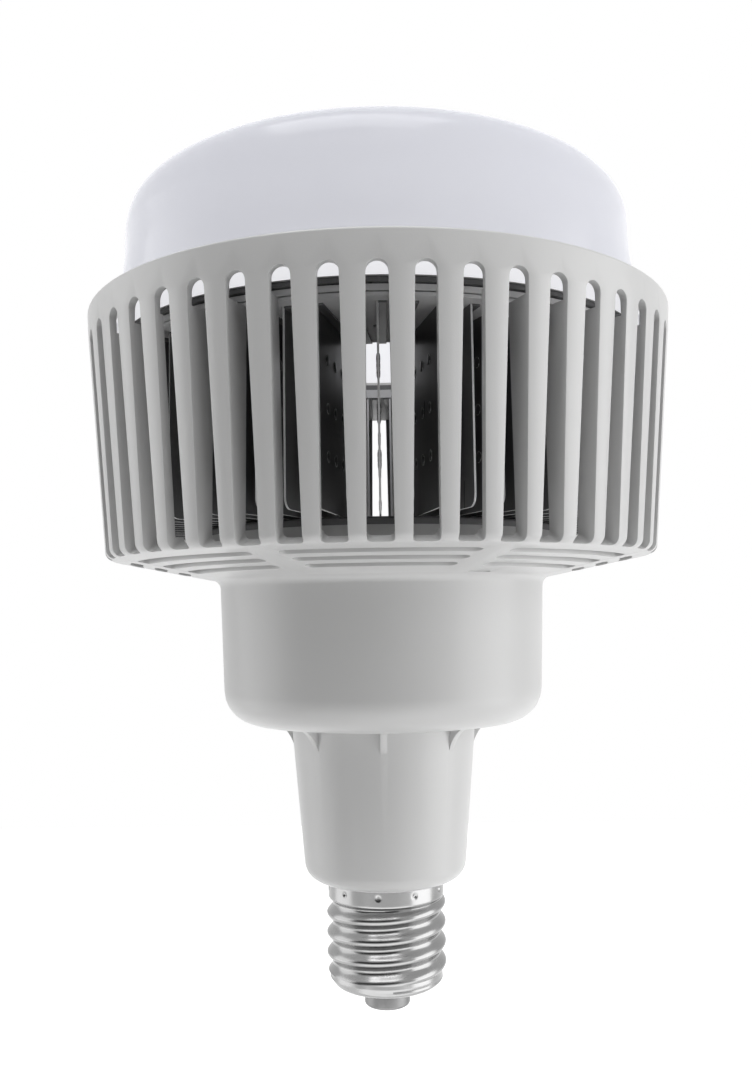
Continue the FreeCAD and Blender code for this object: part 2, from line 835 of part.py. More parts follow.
def centre_contact():
    """Turned contact button with the stem that its lead is soldered to."""
    return revolved([
        (0, 0, 0),
        (contact_radius, 0, contact_round),
        (contact_radius, contact_height, 0),
        (contact_stem_radius, contact_height, 0),
        (contact_stem_radius, insulator_top_z, 0),
        (0, insulator_top_z, 0),
    ])


# ---- leads ---------------------------------------------------------------------------

def tube_along(points, bend):
    """Round lead along straight runs joined by tangent arcs."""
    edges = []
    start = points[0]
    for index in range(1, len(points) - 1):
        here = points[index]
        back = (points[index - 1] - here).normalize()
        ahead = (points[index + 1] - here).normalize()
        half = back.getAngle(ahead) / 2
        reach = bend / math.tan(half)
        enter = here + back * reach
        leave = here + ahead * reach
        centre = here + (back + ahead).normalize() * (bend / math.sin(half))
        middle = centre + (here - centre).normalize() * bend
        edges.append(Part.LineSegment(start, enter).toShape())
        edges.append(Part.Arc(enter, middle, leave).toShape())
        start = leave
    edges.append(Part.LineSegment(start, points[-1]).toShape())
    path = Part.Wire(edges)
    direction = (points[1] - points[0]).normalize()
    section = Part.Wire(Part.makeCircle(lead_radius, points[0], direction))
    return path.makePipeShell([section], True, False)


def led_lead(offset):
    """Lead from the driver board up through the grommet and core to the terminal."""
    entry_z = lead_entry_z()
    end = terminal_radius - lead_entry_depth
    return tube_along([
        FreeCAD.Vector(led_lead_radius, offset, driver_top_z),
        FreeCAD.Vector(led_lead_radius, offset, entry_z),
        FreeCAD.Vector(end, offset, entry_z),
    ], led_lead_bend)


def live_lead():
    """Straight lead from the driver board to the contact's stem."""
    return rod(lead_radius, (0, 0), insulator_top_z, driver_board_z)


def neutral_lead():
    """Straight lead from the driver board to the insulated end of the shell."""
    return rod(lead_radius, (neutral_lead_radius, 0), insulator_top_z, driver_board_z)


# ---- write every sub-part --------------------------------------------------------------

os.makedirs("parts", exist_ok=True)

write("housing", housing())
write("diffuser", diffuser())
write("diffuser_seal", diffuser_seal())
write("heat_spreader", heat_spreader())
write("fin_ring", fin_ring())
for number in range(fin_banks):
    write("cooling_fins_%d" % (number + 1), fin_bank(number))
write("led_board", led_board())
write("leds", leds())
led_angles = [index * 360.0 / led_screw_count for index in range(led_screw_count)]
plate_angles = [plate_screw_first_angle + index * 360.0 / plate_screw_count for index in range(plate_screw_count)]
write("led_board_screws", screws_on(led_screw_circle, board_top_z, led_angles))
write("fin_ring_screws", screws_on(plate_screw_circle, board_top_z, plate_angles))
write("led_terminal", led_terminal())
write("driver_cover", driver_cover())
write("cover_screws", screws_on(cover_boss_circle, cover_top_z - screw_head_height, boss_angles()))
write("grommet", grommet())
write("driver_board", driver_board())
write("driver_board_screws", screws_on(board_boss_circle, driver_top_z, boss_angles()))
write("transformer_core", transformer_core())
write("transformer_winding", transformer_winding())
write("bulk_capacitors", bulk_capacitors())
write("line_choke", line_choke())
write("film_capacitor", block(film_cap_size, film_cap_place, driver_top_z))
write("rectifier", block(rectifier_size, rectifier_place, driver_top_z))
write("heat_tab", heat_tab())
write("transistor", transistor())
write("input_fuse", input_fuse())
write("cap_shell", cap_shell())
write("cap_insulator", cap_insulator())
write("centre_contact", centre_contact())
write("led_lead_positive", led_lead(led_lead_offset))
write("led_lead_negative", led_lead(-led_lead_offset))
write("live_lead", live_lead())
write("neutral_lead", neutral_lead())
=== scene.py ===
import json
import math
import bpy
from mathutils import Matrix, Vector


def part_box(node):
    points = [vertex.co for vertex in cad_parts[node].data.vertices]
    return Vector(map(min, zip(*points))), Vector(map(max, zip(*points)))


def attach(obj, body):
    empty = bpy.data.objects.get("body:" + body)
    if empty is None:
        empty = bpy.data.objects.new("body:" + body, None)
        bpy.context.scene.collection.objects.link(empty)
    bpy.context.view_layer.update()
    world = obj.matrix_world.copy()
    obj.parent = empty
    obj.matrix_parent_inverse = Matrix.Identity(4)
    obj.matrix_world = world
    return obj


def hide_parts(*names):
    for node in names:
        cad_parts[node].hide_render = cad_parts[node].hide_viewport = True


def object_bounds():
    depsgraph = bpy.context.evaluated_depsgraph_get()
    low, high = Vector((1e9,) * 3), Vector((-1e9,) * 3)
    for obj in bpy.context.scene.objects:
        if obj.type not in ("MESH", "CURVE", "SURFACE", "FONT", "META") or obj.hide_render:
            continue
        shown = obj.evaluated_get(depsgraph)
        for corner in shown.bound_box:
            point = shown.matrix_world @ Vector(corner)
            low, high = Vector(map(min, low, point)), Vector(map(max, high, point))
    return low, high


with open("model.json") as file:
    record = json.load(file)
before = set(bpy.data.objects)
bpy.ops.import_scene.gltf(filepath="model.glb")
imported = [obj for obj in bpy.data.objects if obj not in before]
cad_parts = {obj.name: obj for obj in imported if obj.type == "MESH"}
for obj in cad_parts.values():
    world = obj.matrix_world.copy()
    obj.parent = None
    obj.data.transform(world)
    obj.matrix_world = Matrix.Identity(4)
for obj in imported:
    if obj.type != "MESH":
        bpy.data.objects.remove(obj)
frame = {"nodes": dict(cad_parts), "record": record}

# LED high bay lamp: finish, rounded mouldings, dimpled fins and the rolled thread of its screw cap.
# Lengths are in metres; MM turns the drawing's millimetres into them. Angles are in degrees, counted
# about the lamp's axis from the front, unless a line says otherwise.
MM = 0.001

cad_low, cad_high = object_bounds()
diffuser_low, diffuser_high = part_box("diffuser")
fins_low, fins_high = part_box("cooling_fins_1")
shell_low, shell_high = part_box("cap_shell")
contact_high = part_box("centre_contact")[1]
rim_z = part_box("housing")[1][2]
seat_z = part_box("fin_ring")[0][2]
bay_top_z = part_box("driver_cover")[0][2]
insulator_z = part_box("cap_insulator")[0][2]

# ---- sizes of the moulding ------------------------------------------------------------
TURN_STEPS = 96
EDGE_ROUND = 0.55 * MM
MERGE_DISTANCE = 0.002 * MM
CLEAR = 1.0 * MM                     # cutters reach this, or a few times it, past the faces they leave through

CAGE_END_RADIUS = 90.85 * MM
CAGE_END_ROUND = 3.0 * MM
CAGE_SHOULDER_RADIUS = 96.48 * MM
CAGE_TOP_RADIUS = 96.95 * MM
RIM_HEIGHT = 9.7 * MM
RIM_ROUND = 0.8 * MM
RIM_INNER_RADIUS = 88.0 * MM
RIM_FLANGE = 2.8 * MM
RIM_WALL = 2.2 * MM
FLOOR_SLOPE = 0.199
FLOOR_THICKNESS = 2.3 * MM

SLOT_COUNT = 48
SLOT_TOP_WIDTH = 5.8 * MM
SLOT_END_WIDTH = 7.3 * MM
SLOT_END_ROUND = 1.5 * MM
SLOT_HEAD_SHARE = 0.98               # rounding of the head as a share of half its width
SLOT_TOP_DROP = 8.3 * MM
SLOT_LIP = 0.7 * MM
SLOT_FALL = 0.54                     # fall of the slot's floor outwards, as a slope

BAR_INNER_RADIUS = 85.2 * MM
BAR_FOOT = 0.8 * MM
SHALLOW_BAR_DEPTH = 6.8 * MM
THIN_BAR_DEPTH = 3.0 * MM
BAR_TRIMS = (                        # depth left, how many, angle of the first
    (SHALLOW_BAR_DEPTH, 2, -18.75),
    (THIN_BAR_DEPTH, 6, 18.75),
    (THIN_BAR_DEPTH, 2, 11.25),
    (THIN_BAR_DEPTH, 2, -11.25),
)

NECK_TOP_RADIUS = 54.2 * MM
NECK_TOP_ROUND = 3.0 * MM
NECK_END_RADIUS = 52.58 * MM
NECK_END_ROUND = 11.06 * MM
NECK_HEIGHT = 46.74 * MM
NECK_WALL = 2.4 * MM
BAY_RADIUS = 60.2 * MM
BAY_WALL = 1.7 * MM

COLLAR_TOP_RADIUS = 30.83 * MM
COLLAR_TOP_ROUND = 1.0 * MM
COLLAR_END_RADIUS = 26.33 * MM
COLLAR_END_ROUND = 5.6 * MM
COLLAR_LENGTH = 51.3 * MM
COLLAR_LIFT = 0.8 * MM               # the collar ends this much above the drawn cap; the skirt reaches up to it
SPIGOT_RADIUS = 17.3 * MM
SPIGOT_WALL = 2.3 * MM
SPIGOT_LENGTH = 27.0 * MM
SPIGOT_ROOT_RADIUS = 17.9 * MM
SKIRT_LENGTH = 5.4 * MM

GUSSET_COUNT = 8
GUSSET_THICKNESS = 2.1 * MM
GUSSET_REACH = 6.2 * MM
GUSSET_DROP = 10.0 * MM
GUSSET_SINK = 0.4 * MM
GUSSET_BEND = (0.02, 0.25)           # where the hollow edge is drawn to, as shares of reach and drop
GUSSET_STEPS = 8

VENT_RADII = (81.06 * MM, 73.44 * MM, 65.83 * MM)
VENT_WIDTH = 4.0 * MM
VENT_SECTORS = 8
VENT_SPOKE = 8.4 * MM
VENT_STEP = 3.75
VENT_END_STEPS = 6
LATCH_RADIUS = 57.3 * MM
LATCH_WIDTH = 1.8 * MM
LATCH_HALF_ANGLE = 3.0
LATCH_COUNT = 3
LATCH_FIRST_ANGLE = 30.0

collar_end_z = shell_high[2] + COLLAR_LIFT
collar_top_z = collar_end_z + COLLAR_LENGTH
neck_top_z = collar_top_z + NECK_HEIGHT
shoulder_z = rim_z - RIM_HEIGHT


def floor_z(radius):
    """Underside of the vented floor at a radius."""
    return neck_top_z + FLOOR_SLOPE * (radius - NECK_TOP_RADIUS)


def floor_top_z(radius):
    """Upper face of the vented floor at a radius."""
    return floor_z(radius) + FLOOR_THICKNESS


# ---- modelling helpers ----------------------------------------------------------------

def deselect():
    for each in list(bpy.context.selected_objects):
        each.select_set(False)


def pick(obj):
    """Makes one object the only selected and active one."""
    deselect()
    obj.select_set(True)
    bpy.context.view_layer.objects.active = obj


def edit():
    """Opens the active object with all its corners selected."""
    bpy.ops.object.mode_set(mode="EDIT")
    bpy.ops.mesh.select_mode(type="VERT")
    bpy.ops.mesh.select_all(action="SELECT")


def done():
    bpy.ops.object.mode_set(mode="OBJECT")


def push(step):
    """Extrudes what is selected by a vector."""
    bpy.ops.mesh.extrude_region_move(TRANSFORM_OT_translate={"value": step})


def face_outwards():
    bpy.ops.mesh.select_all(action="SELECT")
    bpy.ops.mesh.normals_make_consistent(inside=False)


def draw(name, points, closed=True):
    """An outline drawn by pulling one corner from point to point; it is left open for editing."""
    deselect()
    bpy.ops.mesh.primitive_plane_add(size=MM, location=(0, 0, 0))
    obj = bpy.context.object
    obj.name = name
    edit()
    bpy.ops.mesh.merge(type="CENTER")
    bpy.ops.transform.translate(value=points[0])
    for before, here in zip(points, points[1:]):
        push(Vector(here) - Vector(before))
    if closed:
        obj.update_from_editmode()
        bpy.ops.mesh.select_all(action="DESELECT")
        done()
        obj.data.vertices[0].select = True
        obj.data.vertices[len(points) - 1].select = True
        bpy.ops.object.mode_set(mode="EDIT")
        bpy.ops.mesh.edge_face_add()
    bpy.ops.mesh.select_all(action="SELECT")
    return obj


def rounded(corners, fineness=14.0):
    """Points of an outline whose (a, b, radius) corners are rounded off; fineness is the turn per step."""
    points = []
    for index, (a, b, radius) in enumerate(corners):
        if radius <= 0:
            points.append((a, b))
            continue
        here = Vector((a, b))
        back = (Vector(corners[index - 1][:2]) - here).normalized()
        ahead = (Vector(corners[(index + 1) % len(corners)][:2]) - here).normalized()
        half = back.angle(ahead) / 2
        centre = here + (back + ahead).normalized() * (radius / math.sin(half))
        start = here + back * (radius / math.tan(half)) - centre
        end = here + ahead * (radius / math.tan(half)) - centre
        turn = start.angle_signed(end)
        steps = max(2, round(abs(math.degrees(turn)) / fineness))
        for step in range(steps + 1):
            arm = start.copy()
            arm.rotate(Matrix.Rotation(-turn * step / steps, 2))
            points.append(tuple(centre + arm))
    return points


def turned(name, outline, steps=TURN_STEPS, closed=True):
    """A turned piece from (radius, z) points."""
    obj = draw(name, [(0, -radius, z) for radius, z in outline], closed)
    bpy.ops.mesh.spin(steps=steps, angle=2 * math.pi, center=(0, 0, 0), axis=(0, 0, 1))
    bpy.ops.mesh.select_all(action="SELECT")
    bpy.ops.mesh.remove_doubles(threshold=MERGE_DISTANCE)
    face_outwards()
    done()
    return obj


def prism(name, outline, depth):
    """A closed outline of 3-D points filled and pushed out by a vector."""
    obj = draw(name, outline)
    bpy.ops.mesh.edge_face_add()
    push(depth)
    face_outwards()
    done()
    return obj


def turned_copy(obj, degrees):
    """Copy with its own mesh, turned about the lamp's axis."""
    other = obj.copy()
    other.data = obj.data.copy()
    other.data.transform(Matrix.Rotation(math.radians(degrees), 4, "Z"))
    bpy.context.collection.objects.link(other)
    return other


def ring_of(obj, count, first=0.0):
    """The object repeated about the lamp's axis; the pattern itself is used up."""
    copies = [turned_copy(obj, first + index * 360.0 / count) for index in range(count)]
    bpy.data.objects.remove(obj)
    return copies


def joined(name, parts):
    """Several meshes as one object."""
    pick(parts[0])
    for part in parts[1:]:
        part.select_set(True)
    bpy.ops.object.join()
    obj = bpy.context.object
    obj.name = name
    return obj


def apply(obj, kind, **settings):
    """Adds one modifier and applies it."""
    pick(obj)
    modifier = obj.modifiers.new(kind.lower(), kind)
    for key, value in settings.items():
        setattr(modifier, key, value)
    bpy.ops.object.modifier_apply(modifier=modifier.name)


def carve(obj, tool, operation="DIFFERENCE"):
    """Boolean with a tool object that is used up."""
    apply(obj, "BOOLEAN", operation=operation, solver="EXACT", object=tool)
    bpy.data.objects.remove(tool)


def smooth(obj, angle):
    """Shades smooth over every edge flatter than an angle."""
    pick(obj)
    bpy.ops.object.shade_smooth_by_angle(angle=math.radians(angle))


def soften(obj, width, angle):
    """Rounds the edges sharper than an angle and shades the rest smooth."""
    apply(obj, "BEVEL", width=width, segments=2, limit_method="ANGLE",
          angle_limit=math.radians(angle), use_clamp_overlap=True, miter_outer="MITER_ARC")
    smooth(obj, angle)


def mark_faces(obj, name, test):
    """Gives each face a 1 where the test holds and a 0 elsewhere, for its finish to read."""
    marks = obj.data.attributes.new(name, "FLOAT", "FACE")
    for face in obj.data.polygons:
        marks.data[face.index].value = 1.0 if test(face) else 0.0


def dress(obj, finish):
    """Gives a piece one finish all over."""
    obj.data.materials.clear()
    obj.data.materials.append(finish)


def place(obj, node, slot):
    """Stands a finished piece in for its CAD node and gives it its finish."""
    dress(obj, FINISHES[slot])
    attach(obj, "root")
    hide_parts(node)


# ---- shader helpers -------------------------------------------------------------------

def grey(value):
    return (value, value, value, 1)


class Wire:
    """An output socket that Python arithmetic can be written on."""

    def __init__(self, board, socket):
        self.board = board
        self.socket = socket

    def reckon(self, operation, first, second):
        return self.board.add("ShaderNodeMath", first, second, settings={"operation": operation})

    def __radd__(self, other):
        return self.reckon("ADD", other, self)

    def __sub__(self, other):
        return self.reckon("SUBTRACT", self, other)

    def __mul__(self, other):
        return self.reckon("MULTIPLY", self, other)

    def __rmul__(self, other):
        return self.reckon("MULTIPLY", other, self)

    def __truediv__(self, other):
        return self.reckon("DIVIDE", self, other)

    def or_more(self, other):
        return self.reckon("MAXIMUM", self, other)


class Board:
    """Node tree of one material or world, with one method that adds any node."""

    def __init__(self, owner):
        self.owner = owner
        owner.use_nodes = True
        self.tree = owner.node_tree
        self.tree.nodes.clear()

    def add(self, kind, *values, output=0, settings=None, **named):
        """Adds a node, sets it, feeds its inputs by order or by name and hands back one output."""
        node = self.tree.nodes.new(kind)
        for key, value in (settings or {}).items():
            setattr(node, key, value)
        for index, value in enumerate(values):
            self.feed(node.inputs[index], value)
        for key, value in named.items():
            self.feed(node.inputs[key.replace("_", " ")], value)
        self.last = node
        return Wire(self, node.outputs[output])

    def feed(self, socket, value):
        if isinstance(value, Wire):
            self.tree.links.new(value.socket, socket)
        else:
            socket.default_value = value

    def here(self):
        return self.add("ShaderNodeTexCoord", output="Object")

    def stretched(self, scale):
        return self.add("ShaderNodeMapping", self.here(), Scale=scale)

    def mark(self, name):
        """What mark_faces left on the faces."""
        return self.add("ShaderNodeAttribute", output="Fac", settings={"attribute_name": name})

    def noise(self, scale, detail=3.0, where=None):
        return self.add("ShaderNodeTexNoise", Vector=where or self.here(), Scale=scale, Detail=detail,
                        Roughness=0.55)

    def ramp(self, factor, low, high):
        """Runs from 0 to 1 while the factor runs from low to high."""
        wire = self.add("ShaderNodeValToRGB", factor)
        for stop, position in zip(self.last.color_ramp.elements, (low, high)):
            stop.position = position
        return wire

    def blend(self, factor, first, second):
        """Colour mix."""
        node = self.tree.nodes.new("ShaderNodeMix")
        node.data_type = "RGBA"
        for name, value in (("Factor", factor), ("A", first), ("B", second)):
            socket = next(s for s in node.inputs if s.name == name and s.enabled)
            self.feed(socket, value)
        return Wire(self, next(s for s in node.outputs if s.enabled))

    def bump(self, height, distance):
        return self.add("ShaderNodeBump", Height=height, Distance=distance, Strength=1.0)

    def close(self, shader, kind="ShaderNodeOutputMaterial"):
        """Joins a shader to the tree's end and hands back what the tree belongs to."""
        end = self.tree.nodes.new(kind)
        self.tree.links.new(shader.socket, end.inputs[0])
        return self.owner

    def finish(self, **named):
        """Ends a material in one shader with the named inputs."""
        return self.close(self.add("ShaderNodeBsdfPrincipled", **named))


def new_board(name):
    return Board(bpy.data.materials.new(name))


def seen_share(board):
    """1 where a surface is looked at, straight, in gloss or through glass; 0 where it only gives light."""
    board.add("ShaderNodeLightPath")
    camera_ray, glossy_ray, clear_ray = [
        Wire(board, board.last.outputs["Is %s Ray" % kind]) for kind in ("Camera", "Glossy", "Transmission")]
    return camera_ray.or_more(glossy_ray).or_more(clear_ray)


# ---- finishes -------------------------------------------------------------------------

def moulded_plastic():
    """Light grey moulding: even colour, faint flow marks and a fine spark-eroded grain."""
    board = new_board("moulded_plastic")
    flow = board.noise(9.0, 2.0, where=board.stretched((1, 1, 0.35)))
    grain = board.noise(2600.0, 2.0)
    shade = board.blend(flow, (0.50, 0.50, 0.498, 1), (0.55, 0.55, 0.548, 1))
    return board.finish(Base_Color=shade, Roughness=0.27 + 0.10 * board.noise(60.0),
                        Normal=board.bump(grain, 0.02 * MM), IOR=1.46)


def milky_plastic():
    """Opal diffuser: cool white, soft gloss, painted glow all over; skirt and inner wall paler from stronger
    painted glow.
    """
    skirt_fade = 2 * MM
    board = new_board("milky_plastic")
    cloud = board.noise(14.0, 2.0)
    shade = board.blend(cloud, (0.30, 0.304, 0.330, 1), (0.34, 0.344, 0.370, 1))
    grain = board.noise(900.0, 1.0)
    height = board.add("ShaderNodeSeparateXYZ", board.here(), output="Z")
    # the skirt below the rim and the marked inner wall get a stronger painted glow
    skirt = board.ramp((height - (rim_z - skirt_fade)) / -skirt_fade, 0.0, 1.0)
    painted_glow_mask = skirt.or_more(board.mark("inner_wall"))
    # painted glow: the whole dome emits in place of light through the opal, more on the skirt and inner wall
    glow = board.blend(painted_glow_mask, (0.225, 0.228, 0.252, 1), (0.58, 0.58, 0.59, 1))
    return board.finish(Base_Color=shade, Roughness=0.12 + 0.04 * board.noise(40.0),
                        Normal=board.bump(grain, 0.004 * MM), IOR=1.25,
                        Emission_Color=glow, Emission_Strength=1.0,
                        Subsurface_Weight=0.9, Subsurface_Scale=16 * MM,
                        Subsurface_Radius=(1.0, 1.0, 1.0))


def soft_rubber(name, value):
    """Dull rubber with a little dust on it."""
    board = new_board(name)
    dust = board.noise(300.0)
    shade = board.blend(dust, grey(value), grey(value * 1.25))
    return board.finish(Base_Color=shade, Roughness=0.62 + 0.2 * board.noise(150.0),
                        Normal=board.bump(board.noise(1800.0), 0.02 * MM))


def black_lacquer():
    """Glossy black coat on stamped sheet, faint runs and dust; bare cut edges and pip rims light grey as
    painted glints.
    """
    board = new_board("black_lacquer")
    runs = board.noise(120.0, 3.0, where=board.stretched((1, 1, 0.15)))
    dust = board.ramp(board.noise(900.0, 4.0), 0.60, 0.78)
    shade = board.blend(dust, (0.14, 0.14, 0.142, 1), (0.20, 0.20, 0.202, 1))
    # painted glint: light grey on the cut edges and pip rims, part bare metal and part painted highlight
    shade = board.blend(board.mark("bare_edge_and_painted_glint"), shade, grey(0.88))
    return board.finish(Base_Color=shade, Roughness=0.22 + 0.18 * runs,
                        Normal=board.bump(runs, 0.03 * MM), IOR=1.52)


def bright_nickel():
    """Nickel-plated shell: mirror bright with fine turning lines and handling haze."""
    board = new_board("bright_nickel")
    haze = board.noise(110.0, 4.0)
    lines = board.noise(500.0, 2.0, where=board.stretched((0.15, 0.15, 9)))
    shade = board.blend(haze, grey(0.23), grey(0.31))
    return board.finish(Base_Color=shade, Metallic=1.0, Roughness=0.20 + 0.10 * board.ramp(haze, 0.35, 0.75),
                        Normal=board.bump(lines, 0.005 * MM))


def plain_metal(name, value, rough, grain=700.0):
    """Bare metal with drawing lines."""
    board = new_board(name)
    lines = board.noise(grain, 3.0, where=board.stretched((1, 6, 1)))
    shade = board.blend(lines, grey(value * 0.85), grey(value * 1.1))
    return board.finish(Base_Color=shade, Metallic=1.0, Roughness=rough + 0.18 * lines,
                        Normal=board.bump(lines, 0.02 * MM))


def coated(name, colour, rough, variation):
    """Moulded or lacquered surface in one colour with slight mottling."""
    board = new_board(name)
    mottle = board.noise(80.0, 3.0)
    dark = tuple(channel * (1 - variation) for channel in colour) + (1,)
    light = tuple(min(1.0, channel * (1 + variation)) for channel in colour) + (1,)
    shade = board.blend(mottle, dark, light)
    return board.finish(Base_Color=shade, Roughness=rough + 0.12 * board.noise(200.0),
                        Normal=board.bump(board.noise(900.0), 0.02 * MM))


def circuit_board():
    """Solder-masked board with paler copper areas under the mask."""
    board = new_board("circuit_board")
    cells = board.add("ShaderNodeTexVoronoi", Vector=board.here(), Scale=140.0,
                      settings={"distance": "CHEBYCHEV"})
    tracks = board.ramp(cells, 0.30, 0.34)
    shade = board.blend(tracks, (0.03, 0.15, 0.06, 1), (0.06, 0.26, 0.11, 1))
    return board.finish(Base_Color=shade, Roughness=0.3 + 0.1 * board.noise(90.0),
                        Normal=board.bump(tracks, 0.03 * MM))


def taped_winding():
    """Layers of yellow tape round a winding."""
    board = new_board("taped_winding")
    layers = board.add("ShaderNodeTexWave", Vector=board.here(), Scale=420.0, Distortion=0.6,
                       settings={"bands_direction": "Z"})
    shade = board.blend(layers, (0.62, 0.42, 0.03, 1), (0.80, 0.58, 0.07, 1))
    return board.finish(Base_Color=shade, Roughness=0.28 + 0.1 * layers,
                        Normal=board.bump(layers, 0.05 * MM))


FINISHES = {
    "housing_plastic": moulded_plastic(),
    "diffuser_plastic": milky_plastic(),
    "seal_rubber": soft_rubber("seal_rubber", 0.32),
    "black_metal": black_lacquer(),
    "dark_aluminium": coated("ring_enamel", (0.70, 0.70, 0.70), 0.4, 0.12),
    "board_white": coated("white_lacquer", (0.80, 0.80, 0.78), 0.35, 0.04),
    "led_phosphor": coated("phosphor", (0.85, 0.66, 0.16), 0.25, 0.10),
    "screw_steel": plain_metal("screw_steel", 0.55, 0.25),
    "terminal_plastic": coated("terminal_plastic", (0.70, 0.70, 0.66), 0.45, 0.05),
    "cover_plastic": coated("lid_plastic", (0.13, 0.13, 0.132), 0.42, 0.20),
    "grommet_rubber": soft_rubber("grommet_rubber", 0.02),
    "board_green": circuit_board(),
    "ferrite": coated("ferrite", (0.045, 0.045, 0.047), 0.55, 0.25),
    "winding_tape": taped_winding(),
    "capacitor_sleeve": coated("can_sleeve", (0.02, 0.03, 0.09), 0.22, 0.10),
    "choke_coat": coated("choke_coat", (0.04, 0.16, 0.07), 0.25, 0.15),
    "film_yellow": coated("film_yellow", (0.60, 0.42, 0.05), 0.25, 0.08),
    "black_resin": coated("black_resin", (0.02, 0.02, 0.021), 0.5, 0.2),
    "bare_aluminium": plain_metal("bare_aluminium", 0.66, 0.3),
    "fuse_body": coated("fuse_body", (0.03, 0.03, 0.03), 0.3, 0.1),
    "nickel": bright_nickel(),
    "cap_glass": coated("cap_glass", (0.02, 0.02, 0.024), 0.12, 0.2),
    "contact_metal": plain_metal("contact_metal", 0.18, 0.30, 900.0),
    "lead_red": coated("lead_red", (0.38, 0.012, 0.012), 0.35, 0.08),
    "lead_black": coated("lead_black", (0.014, 0.014, 0.014), 0.35, 0.08),
    "lead_brown": coated("lead_brown", (0.12, 0.045, 0.015), 0.35, 0.08),
    "lead_blue": coated("lead_blue", (0.02, 0.06, 0.30), 0.35, 0.08),
}

for row in frame["record"]["subparts"]:
    dress(frame["nodes"][row["node"]], FINISHES[row["material_slot"]])


# ---- moulded housing ------------------------------------------------------------------

def housing_outline():
    """Section of the housing, from the spigot inside the cap up the outside and back down the inside."""
    bore = SPIGOT_RADIUS - SPIGOT_WALL
    bay_inner = BAY_RADIUS - BAY_WALL
    rim_wall_inner = CAGE_SHOULDER_RADIUS - RIM_WALL
    spigot_root_z = collar_end_z - SKIRT_LENGTH
    neck_inner = NECK_TOP_RADIUS - NECK_WALL
    floor_of_neck = collar_top_z + NECK_WALL
    return rounded([
        (bore, collar_end_z - SPIGOT_LENGTH, 0),
        (SPIGOT_RADIUS, collar_end_z - SPIGOT_LENGTH, 0),
        (SPIGOT_RADIUS, spigot_root_z, 0),
        (SPIGOT_ROOT_RADIUS, spigot_root_z, 0),
        (SPIGOT_ROOT_RADIUS, collar_end_z, 0),
        (COLLAR_END_RADIUS, collar_end_z, COLLAR_END_ROUND),
        (COLLAR_TOP_RADIUS, collar_top_z, COLLAR_TOP_ROUND),
        (NECK_END_RADIUS, collar_top_z, NECK_END_ROUND),
        (NECK_TOP_RADIUS, neck_top_z, NECK_TOP_ROUND),
        (CAGE_END_RADIUS, floor_z(CAGE_END_RADIUS), CAGE_END_ROUND),
        (CAGE_SHOULDER_RADIUS, shoulder_z, 0),
        (CAGE_TOP_RADIUS, rim_z, RIM_ROUND),
        (RIM_INNER_RADIUS, rim_z, 0),
        (RIM_INNER_RADIUS, rim_z - RIM_FLANGE, 0),
        (rim_wall_inner, rim_z - RIM_FLANGE, 0),
        (rim_wall_inner, seat_z, 0),
        (BAR_INNER_RADIUS, seat_z, 0),
        (BAR_INNER_RADIUS, floor_top_z(BAR_INNER_RADIUS), 0),
        (BAY_RADIUS, floor_top_z(BAY_RADIUS), 0),
        (BAY_RADIUS, bay_top_z, 0),
        (bay_inner, bay_top_z, 0),
        (bay_inner, floor_top_z(bay_inner), 0),
        (neck_inner, floor_top_z(neck_inner), 0),
        (NECK_END_RADIUS - NECK_WALL, floor_of_neck, NECK_END_ROUND - NECK_WALL),
        (COLLAR_TOP_RADIUS - NECK_WALL, floor_of_neck, 0),
        (COLLAR_END_RADIUS - NECK_WALL, collar_end_z + NECK_WALL, 0),
        (bore, collar_end_z + NECK_WALL, 0),
    ])


def slot_tool():
    """One tapered air slot with a round head and a floor that falls outwards."""
    outer = CAGE_TOP_RADIUS + 3 * CLEAR
    inner = BAR_INNER_RADIUS - 4 * CLEAR
    lip_radius = CAGE_END_RADIUS - CAGE_END_ROUND
    lip_z = floor_z(lip_radius) + SLOT_LIP
    outer_end = lip_z - SLOT_FALL * (outer - lip_radius)
    head = SLOT_TOP_WIDTH / 2
    foot = SLOT_END_WIDTH / 2
    top = rim_z - SLOT_TOP_DROP
    outline = rounded([
        (-foot, outer_end, SLOT_END_ROUND),
        (foot, outer_end, SLOT_END_ROUND),
        (head, top, head * SLOT_HEAD_SHARE),
        (-head, top, head * SLOT_HEAD_SHARE),
    ], fineness=15.0)
    tool = prism("slot", [(across, -outer, up) for across, up in outline], (0, outer - inner, 0))
    foot_end = outer_end + SLOT_END_ROUND * 1.01            # a hair above the rounding of the foot
    for vertex in tool.data.vertices:
        if vertex.co.y > -(inner + CLEAR) and vertex.co.z < foot_end:
            vertex.co.z += SLOT_FALL * (outer - inner)
    return tool


def vent_tool(radius, width, half_angle):
    """Curved floor slot with rounded ends."""
    low = neck_top_z - 3 * CLEAR
    depth = floor_top_z(CAGE_END_RADIUS) + CLEAR - low
    points = []
    steps = max(2, 2 * math.ceil(half_angle / VENT_STEP))
    for side, reach in ((1, radius + width / 2), (-1, radius - width / 2)):
        for step in range(steps + 1):
            turn = math.radians(side * half_angle * (2 * step / steps - 1))
            points.append((reach * math.sin(turn), -reach * math.cos(turn), low))
        turn = math.radians(side * half_angle)
        centre = Vector((radius * math.sin(turn), -radius * math.cos(turn), low))
        outward = Vector((math.sin(turn), -math.cos(turn), 0)) * side
        along = Vector((math.cos(turn), math.sin(turn), 0)) * side
        for step in range(1, VENT_END_STEPS):
            swing = math.pi * step / VENT_END_STEPS
            arm = outward * math.cos(swing) + along * math.sin(swing)
            points.append(tuple(centre + arm * (width / 2)))
    return prism("vent", points, (0, 0, depth))


